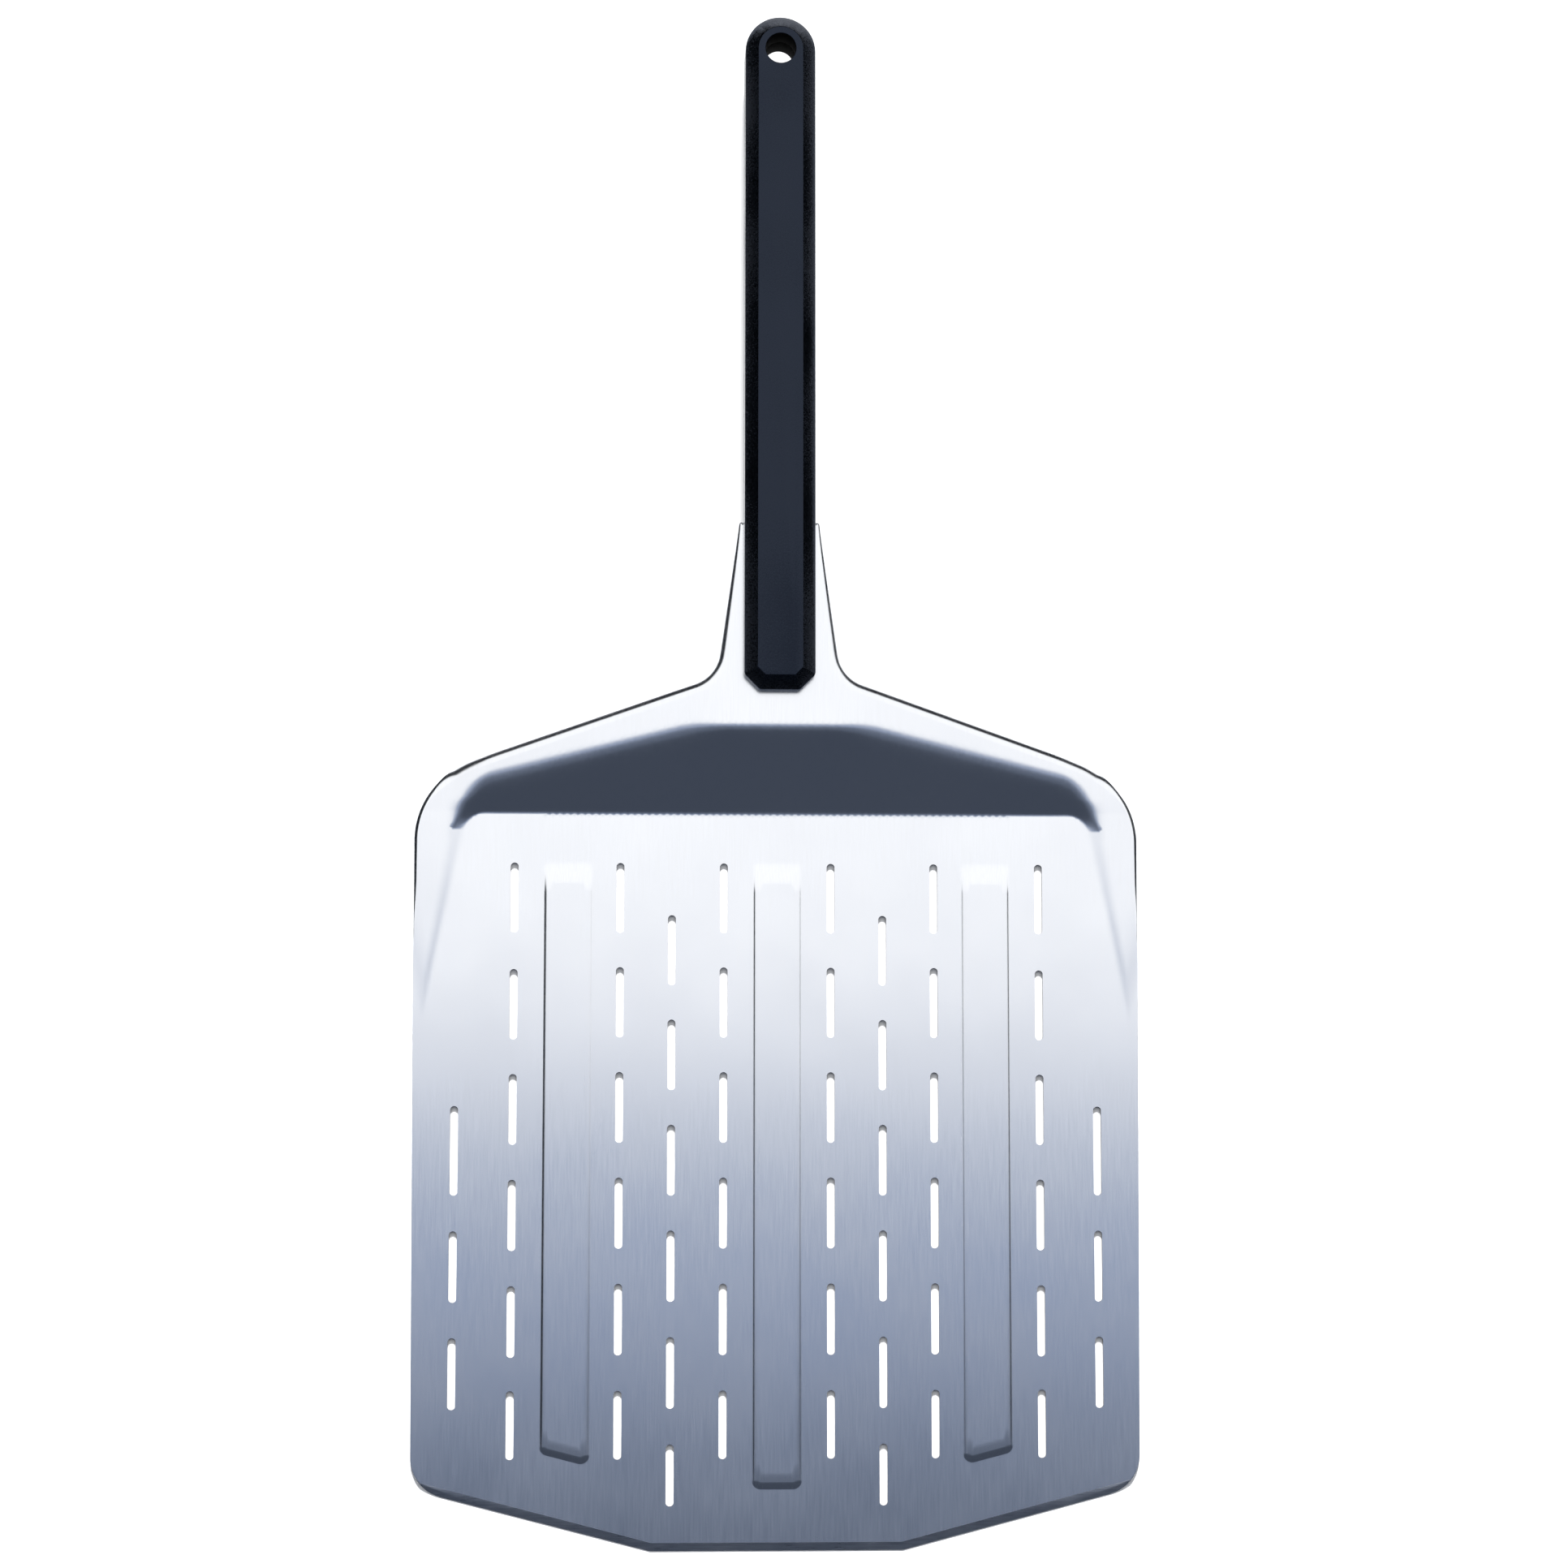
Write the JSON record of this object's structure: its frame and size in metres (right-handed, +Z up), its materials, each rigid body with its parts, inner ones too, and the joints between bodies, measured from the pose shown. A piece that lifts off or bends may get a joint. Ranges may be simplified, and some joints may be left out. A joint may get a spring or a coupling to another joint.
{
  "type": "pizza peel",
  "caption": "Flat perforated metal peel with a raised neck, pressed ribs and a long two-shell handle that has a hang hole.",
  "frame": {"origin": "under the middle of the whole peel, on the plane of the blade's flat underside", "axes": "+Y from the blade along the peel to the handle's hanging end, +Z up out of the blade's working face, +X to the right when seen from above with the handle away"},
  "size_m": [0.3056, 0.644, 0.0301],
  "materials": {
    "blade_metal": "satin anodised, fine lengthwise grain",
    "handle_nylon": "glass-filled nylon, fine moulded grain",
    "screw_steel": "stainless, lightly polished",
    "insert_brass": "turned and knurled"
  },
  "bodies": {
    "root": {"blade": "blade_metal", "handle_front_shell": "handle_nylon", "handle_back_shell": "handle_nylon", "screws": "screw_steel", "inserts": "insert_brass"}
  },
  "joints": []
}
